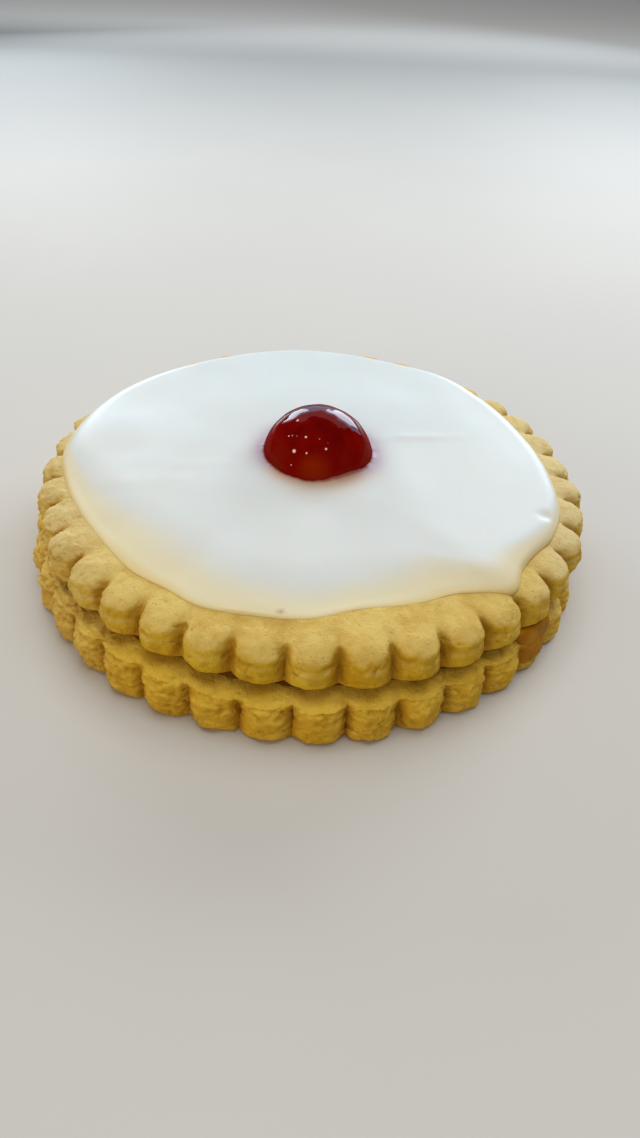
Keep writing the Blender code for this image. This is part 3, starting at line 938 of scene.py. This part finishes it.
class Recipe:
    """The nodes of one material."""

    def __init__(self, name, **constants):
        self.material = bpy.data.materials.new(name)
        self.material.use_nodes = True
        self.tree = self.material.node_tree
        self.shader = self.tree.nodes["Principled BSDF"]
        for socket, value in constants.items():
            self.shader.inputs[socket.replace("_", " ")].default_value = value
        self.place = self.add("ShaderNodeTexCoord", {}, {}, "Object")

    def add(self, kind, settings, values, output=0):
        """Add a node: its settings first, then the values or links of its sockets."""
        node = self.tree.nodes.new(kind)
        for name, setting in settings.items():
            setattr(node, name, setting)
        for key, value in values.items():
            if isinstance(value, Link):
                self.tree.links.new(value.socket, node.inputs[key])
            else:
                node.inputs[key].default_value = value
        return Link(self, node.outputs[output])

    def noise(self, size, detail=2.0, roughness=0.5):
        """Noise between about 0 and 1 with lumps of a size."""
        values = {"Vector": self.place, "Scale": 1.0 / size, "Detail": detail, "Roughness": roughness}
        return self.add("ShaderNodeTexNoise", {}, values)

    def cells(self, size):
        """Distance to the middle of the nearest of many cells of a size."""
        return self.add("ShaderNodeTexVoronoi", {}, {"Vector": self.place, "Scale": 1.0 / size})

    def step(self, value, low, high):
        """Ease from 0 to 1 as a value goes from low to high."""
        values = {"Value": value, "From Min": low, "From Max": high}
        return self.add("ShaderNodeMapRange", {"interpolation_type": "SMOOTHSTEP"}, values)

    def mix(self, factor, first, second):
        """Mix two colours."""
        return self.add("ShaderNodeMix", {"data_type": "RGBA"}, {0: factor, 6: first, 7: second}, 2)

    def attribute(self, name):
        """A value kept on the mesh."""
        return self.add("ShaderNodeAttribute", {"attribute_name": name}, {}, "Fac")

    def axis(self, name):
        """One of the object coordinates."""
        return self.add("ShaderNodeSeparateXYZ", {}, {0: self.place}, name)

    def facing(self):
        """How far the surface faces upwards."""
        normal = self.add("ShaderNodeNewGeometry", {}, {}, "Normal")
        return self.add("ShaderNodeSeparateXYZ", {}, {0: normal}, "Z")

    def away(self, spot):
        """Distance from a spot."""
        return self.add("ShaderNodeVectorMath", {"operation": "DISTANCE"}, {0: self.place, 1: spot}, "Value")

    def bump(self, height, distance):
        """Normal of a fine relief."""
        values = {"Height": height, "Distance": distance, "Strength": 1.0}
        return self.add("ShaderNodeBump", {}, values, "Normal")

    def use(self, **links):
        """Join links to the shader's sockets and give the material."""
        for socket, link in links.items():
            self.tree.links.new(link.socket, self.shader.inputs[socket.replace("_", " ")])
        return self.material


def rgb(red, green, blue):
    """Colour with full opacity."""
    return (red, green, blue, 1.0)


# Side tones are deeper and more golden than top tones: partly painted shade on the walls, partly a deeper
# bake. The lit tones are lighter copies, used for mottle and for painted highlights on raised crumb.
Tones = namedtuple("Tones", "side_warm side_lit top_warm top_lit pale_share")
# The lower round's top tones are painted lighter to lift the shade that the upper round casts on its ledge.
LOWER_TONES = Tones(
    side_warm=rgb(0.66, 0.37, 0.020),
    side_lit=rgb(0.725, 0.425, 0.035),
    top_warm=rgb(0.77, 0.49, 0.05),
    top_lit=rgb(0.84, 0.56, 0.08),
    pale_share=0.25,
)
UPPER_TONES = Tones(
    side_warm=rgb(0.62, 0.352, 0.010),
    side_lit=rgb(0.73, 0.46, 0.028),
    top_warm=rgb(0.68, 0.455, 0.112),
    top_lit=rgb(0.75, 0.54, 0.16),
    pale_share=0.6,
)
# Dark golden tone, for darker mottle and for painted shade.
DEEP_GOLD_AND_SHADE = rgb(0.44, 0.21, 0.008)
# Pale painted sheen of window light.
PAINTED_SHEEN = rgb(0.78, 0.66, 0.38)
JAM_STAIN = rgb(0.46, 0.19, 0.012)

# Jam painted dark for the shade between the rounds, then the amber of the jam pressed out at the front
# right.
JAM_PAINTED_SHADE = (rgb(0.10, 0.025, 0.003), rgb(0.16, 0.05, 0.005))
JAM_AMBER = (rgb(0.32, 0.12, 0.002), rgb(0.48, 0.21, 0.004))

ICING_WHITE = (rgb(0.715, 0.735, 0.715), rgb(0.735, 0.76, 0.75))
ICING_CREAM_AND_SHADE = rgb(0.79, 0.705, 0.48)
ICING_EDGE_TONE = rgb(0.75, 0.58, 0.27)
HALO_SIDE = rgb(0.38, 0.22, 0.30)
HALO_FRONT_AND_SHADOW = rgb(0.48, 0.26, 0.14)
HALO_FOOT = rgb(0.26, 0.045, 0.03)
SPECK_TONE = rgb(0.30, 0.16, 0.05)

CHERRY_DARK = (rgb(0.125, 0.0016, 0.001), rgb(0.19, 0.0022, 0.001))
# Painted glow: the lower part of the cherry is a lighter red, brightest low at the front, for light that
# comes through it.
PAINTED_LOW_GLOW = rgb(0.22, 0.003, 0.001)
CHERRY_STREAK = rgb(0.17, 0.014, 0.002)
PAINTED_GLOW = rgb(0.26, 0.020, 0.001)
# Middle of the painted glow, from the middle of the cherry's cut side.
PAINTED_GLOW_OFFSET = Vector((-0.5 * MM, -7.8 * MM, 1.6 * MM))
PAINTED_GLINT = rgb(0.95, 0.74, 0.62)

FLOOR_TONES = (rgb(0.60, 0.58, 0.55), rgb(0.64, 0.62, 0.59))
FLOOR_UNDER_LAMP = rgb(0.12, 0.12, 0.12)
FLOOR_BACK = rgb(0.26, 0.26, 0.25)
FLOOR_FAR = rgb(0.9, 0.89, 0.87)


def shortbread_finish(name, tones):
    """Pale golden baked crumb, more golden on its sides (partly painted shade, partly a deeper bake), with
    painted shade in its pits and grooves, painted highlights on raised crumb and a pale painted sheen at the
    left and right.
    """
    recipe = Recipe(name, IOR=1.4, Specular_IOR_Level=0.25)
    # Facing up picks the top tones and facing sideways the side tones, which are partly painted shade.
    up = recipe.step(recipe.facing(), -0.05, 0.95)
    broad = recipe.noise(6.0 * MM, 2.0)
    patch = recipe.noise(1.5 * MM, 3.0)
    grain = recipe.noise(0.5 * MM, 3.0, 0.6)
    relief = recipe.attribute("relief")
    warm = recipe.mix(up, tones.side_warm, tones.top_warm)
    lit = recipe.mix(up, tones.side_lit, tones.top_lit)
    colour = recipe.mix(recipe.step(broad, 0.35, 0.68), warm, lit)
    colour = recipe.mix(0.7 * recipe.step(patch, 0.5, 0.66), colour, lit)
    # Painted highlights: raised crumb takes the lighter tone.
    colour = recipe.mix(0.65 * recipe.step(relief, 0.08, 0.34), colour, lit)
    # Painted sheen: the tops at the right, and the left of the round, are painted paler where window light
    # falls on them.
    across = recipe.axis("X")
    left = recipe.step(0.0 - across, 20.0 * MM, 35.0 * MM)
    right = recipe.step(across, 27.0 * MM, 37.0 * MM)
    colour = recipe.mix(tones.pale_share * up * right, colour, PAINTED_SHEEN)
    colour = recipe.mix((0.2 + 0.6 * (tones.pale_share - 0.2) * up) * left, colour, PAINTED_SHEEN)
    # The dark golden tone gives darker mottle, and painted shade that is stronger on the sides than on the
    # tops.
    deep = 1.0 - 0.6 * up
    pore = recipe.step(0.0 - recipe.cells(1.1 * MM), -0.17, -0.08) * recipe.step(patch, 0.46, 0.56)
    colour = recipe.mix(0.5 * pore, colour, DEEP_GOLD_AND_SHADE)
    colour = recipe.mix(0.4 * deep * recipe.step(0.0 - patch, -0.47, -0.32), colour, DEEP_GOLD_AND_SHADE)
    colour = recipe.mix(0.25 * deep * recipe.step(grain, 0.55, 0.7), colour, DEEP_GOLD_AND_SHADE)
    # Painted shade in the pits of the relief.
    colour = recipe.mix(0.75 * deep * recipe.step(0.0 - relief, 0.04, 0.3), colour, DEEP_GOLD_AND_SHADE)
    # Painted shade along the valleys of the walls.
    colour = recipe.mix(0.7 * recipe.step(recipe.attribute("groove"), 0.1, 1.0), colour, DEEP_GOLD_AND_SHADE)
    colour = recipe.mix(recipe.attribute("stain"), colour, JAM_STAIN)
    fine = recipe.noise(0.28 * MM, 4.0, 0.65)
    pits = recipe.step(recipe.cells(0.7 * MM), 0.05, 0.3)
    normal = recipe.bump(fine + 0.7 * grain + 0.8 * patch + 0.5 * pits, 0.15 * MM)
    return recipe.use(Base_Color=colour, Normal=normal, Roughness=0.7 + 0.2 * grain)


def jam_finish():
    """Amber jam painted dark for the shade between the rounds, and lighter where it has been pressed out."""
    recipe = Recipe("jam_finish", IOR=1.4, Specular_IOR_Level=0.2)
    body = recipe.noise(2.5 * MM, 2.0)
    share = recipe.step(body, 0.3, 0.7)
    # Painted shade of the jam between the rounds.
    dark = recipe.mix(share, *JAM_PAINTED_SHADE)
    amber = recipe.mix(share, *JAM_AMBER)
    colour = recipe.mix(recipe.step(recipe.attribute("pressed"), 0.1, 0.7), dark, amber)
    normal = recipe.bump(recipe.noise(1.2 * MM, 2.0), 0.1 * MM)
    return recipe.use(Base_Color=colour, Normal=normal, Roughness=0.5 + 0.2 * body)


def icing_finish():
    """White water icing that lets the shortbread show through where it is thin, with painted shade in its
    cream band towards the front edge.
    """
    recipe = Recipe("icing_finish", IOR=1.45, Subsurface_Weight=0.3, Subsurface_Scale=0.9 * MM)
    cloud = recipe.noise(16.0 * MM, 1.0)
    white = recipe.mix(recipe.step(cloud, 0.3, 0.7), *ICING_WHITE)
    edge = recipe.attribute("cream")
    cream = edge + 0.14 * (cloud - 0.5)
    # The cream band: the shortbread showing through thin icing, and painted shade on the slope towards the
    # front edge.
    colour = recipe.mix(recipe.step(cream, 0.05, 0.8), white, ICING_CREAM_AND_SHADE)
    colour = recipe.mix(recipe.step(cream, 0.8, 1.02), colour, ICING_EDGE_TONE)
    # In front of the cherry the halo is also the cherry's painted shadow.
    front = recipe.step(cherry_foot().y - recipe.axis("Y"), 3.5 * MM, 7.5 * MM)
    halo = recipe.mix(front, HALO_SIDE, HALO_FRONT_AND_SHADOW)
    bleed_and_shadow = recipe.attribute("bleed_and_shadow")
    colour = recipe.mix(0.85 * recipe.step(bleed_and_shadow, 0.04, 1.0), colour, halo)
    colour = recipe.mix(recipe.step(bleed_and_shadow, 0.82, 1.04), colour, HALO_FOOT)
    colour = recipe.mix(0.6 * recipe.attribute("speck"), colour, SPECK_TONE)
    normal = recipe.bump(recipe.noise(2.5 * MM, 1.0), 0.02 * MM)
    return recipe.use(Base_Color=colour, Normal=normal, Roughness=0.34 - 0.08 * edge + 0.03 * cloud)


def cherry_finish():
    """Dark red candied cherry with a wet gloss on its upper side, a painted glow low down and a few painted
    glints on small bumps.
    """
    recipe = Recipe("cherry_finish", IOR=1.01, Coat_IOR=1.5, Coat_Roughness=0.03)
    foot = cherry_foot()
    body = recipe.noise(3.0 * MM, 2.0)
    streak = recipe.noise(6.0 * MM, 2.0)
    height = recipe.axis("Z") - foot.z
    # Painted glow in the lower part, brightest low at the front.
    low = 1.0 - recipe.step(height, 1.0 * MM, 5.0 * MM)
    colour = recipe.mix(recipe.step(body, 0.3, 0.7), *CHERRY_DARK)
    colour = recipe.mix(0.8 * low, colour, PAINTED_LOW_GLOW)
    colour = recipe.mix(0.55 * low * recipe.step(streak, 0.45, 0.65), colour, CHERRY_STREAK)
    from_glow = recipe.away(foot + PAINTED_GLOW_OFFSET)
    colour = recipe.mix(0.8 - 0.8 * recipe.step(from_glow, 0.4 * MM, 3.2 * MM), colour, PAINTED_GLOW)
    wet = recipe.step(recipe.facing(), 0.60, 0.74)
    # Painted glints: small pale spots on those bumps.
    for spot, size in glint_places():
        grain = 1.0 - recipe.step(recipe.away(spot), 0.45 * size, size)
        colour = recipe.mix(grain, colour, PAINTED_GLINT)
    normal = recipe.bump(recipe.noise(0.9 * MM, 2.0), 0.015 * MM)
    rim = recipe.add("ShaderNodeLayerWeight", {}, {"Blend": 0.5}, "Facing")
    gloss = (0.08 + 0.92 * wet) * (1.0 - recipe.step(rim, 0.76, 0.84))
    return recipe.use(Base_Color=colour, Normal=normal, Roughness=0.35 + 0.1 * body, Coat_Weight=gloss)


def floor_finish():
    """Plain pale matt studio floor, deeper in tone under the two low lamps so that it stays even."""
    recipe = Recipe("floor_finish", Roughness=0.7, Specular_IOR_Level=0.1)
    mottle = recipe.noise(60.0 * MM, 2.0)
    colour = recipe.mix(mottle, *FLOOR_TONES)
    for place in (WINDOW_LEFT, WINDOW_RIGHT):
        far = recipe.step(recipe.away(Vector((place[0], place[1], 0.0))), 0.02, 0.30)
        colour = recipe.mix(0.85 - 0.85 * far, colour, FLOOR_UNDER_LAMP)
    back = recipe.axis("Y")
    colour = recipe.mix(0.6 * recipe.step(back, 0.12, 0.44), colour, FLOOR_BACK)
    colour = recipe.mix(recipe.step(back, 0.46, 0.62), colour, FLOOR_FAR)
    return recipe.use(Base_Color=colour)


# Studio

FLOOR_HALF_SIZE = 6.0
ROOM_TONE = rgb(0.93, 0.96, 1.0)
ROOM_STRENGTH = 0.22
AIM = Vector((0.0, 0.0, 0.01))

WINDOW_LEFT = (-0.26, 0.44, 0.15)
WINDOW_RIGHT = (0.34, 0.42, 0.19)
DAYLIGHT = (0.86, 0.93, 1.0)
CARD_LIGHT = (0.86, 0.92, 1.0)

# Lamps that light the biscuit without being mirrored in it: name, size, power, colour and place.
LAMPS = (
    ("window_left", (0.22, 0.14), 1.1, DAYLIGHT, WINDOW_LEFT),
    ("window_right", (0.26, 0.16), 1.5, DAYLIGHT, WINDOW_RIGHT),
    ("ceiling", (0.6, 0.6), 2.6, (1.0, 0.99, 0.96), (0.05, 0.08, 0.60)),
    ("front_fill", (0.5, 0.3), 0.58, (1.0, 0.82, 0.5), (-0.30, -0.50, 0.16)),
    ("left_fill", (0.3, 0.2), 0.42, (1.0, 0.86, 0.46), (-0.44, -0.34, 0.12)),
)
# Cards that are only mirrored, in the wet cherry and the icing.
CARDS = (
    ("card_left", (0.17, 0.19), 0.42, CARD_LIGHT, (-0.196, 0.444, 0.145)),
    ("card_right", (0.21, 0.19), 0.55, CARD_LIGHT, (0.209, 0.439, 0.145)),
    ("card_far", (1.1, 0.34), 1.6, (0.18, 0.66, 1.0), (0.03, 0.62, 0.24)),
    ("card_high", (0.8, 0.28), 0.28, (0.9, 0.8, 0.85), (0.03, 0.44, 0.43)),
)


def soft_light(name, size, power, colour, place, mirrored):
    """A large area light that faces the biscuit and either lights it or is mirrored in it."""
    light = bpy.data.lights.new(name, "AREA")
    light.shape = "RECTANGLE"
    light.size, light.size_y = size
    light.energy = power
    light.color = colour
    lamp = add_object(name, light)
    lamp.location = place
    lamp.rotation_euler = (AIM - Vector(place)).to_track_quat("-Z", "Y").to_euler()
    lamp.visible_glossy = mirrored
    lamp.visible_diffuse = not mirrored
    lamp.visible_transmission = not mirrored


def studio():
    """Pale floor, soft lights and the camera."""
    bm = bmesh.new()
    bmesh.ops.create_grid(bm, x_segments=1, y_segments=1, size=FLOOR_HALF_SIZE)
    floor = mesh_object("floor", bm, floor_finish())

    world = bpy.data.worlds.new("soft_room")
    bpy.context.scene.world = world
    world.use_nodes = True
    backdrop = world.node_tree.nodes["Background"]
    backdrop.inputs["Color"].default_value = ROOM_TONE
    backdrop.inputs["Strength"].default_value = ROOM_STRENGTH
    world.cycles_visibility.glossy = False

    for lamp in LAMPS:
        soft_light(*lamp, False)
    for card in CARDS:
        soft_light(*card, True)

    lens = bpy.data.cameras.new("camera")
    lens.lens = CAMERA_LENS
    lens.clip_start = 0.01
    camera = add_object("camera", lens)
    camera.location = CAMERA_PLACE
    camera.rotation_euler = CAMERA_TURN
    bpy.context.scene.camera = camera
    bpy.context.scene.view_settings.view_transform = "Standard"


def main():
    """Make every piece and the studio round them."""
    lower = shortbread_finish("lower_crumb", LOWER_TONES)
    upper = shortbread_finish("upper_crumb", UPPER_TONES)
    shortbread_round("lower_biscuit", LOWER_ROUND, lower)
    shortbread_round("upper_biscuit", UPPER_ROUND, upper)
    jam_layer(jam_finish())
    icing_layer(icing_finish())
    cherry_half(cherry_finish())
    studio()


main()
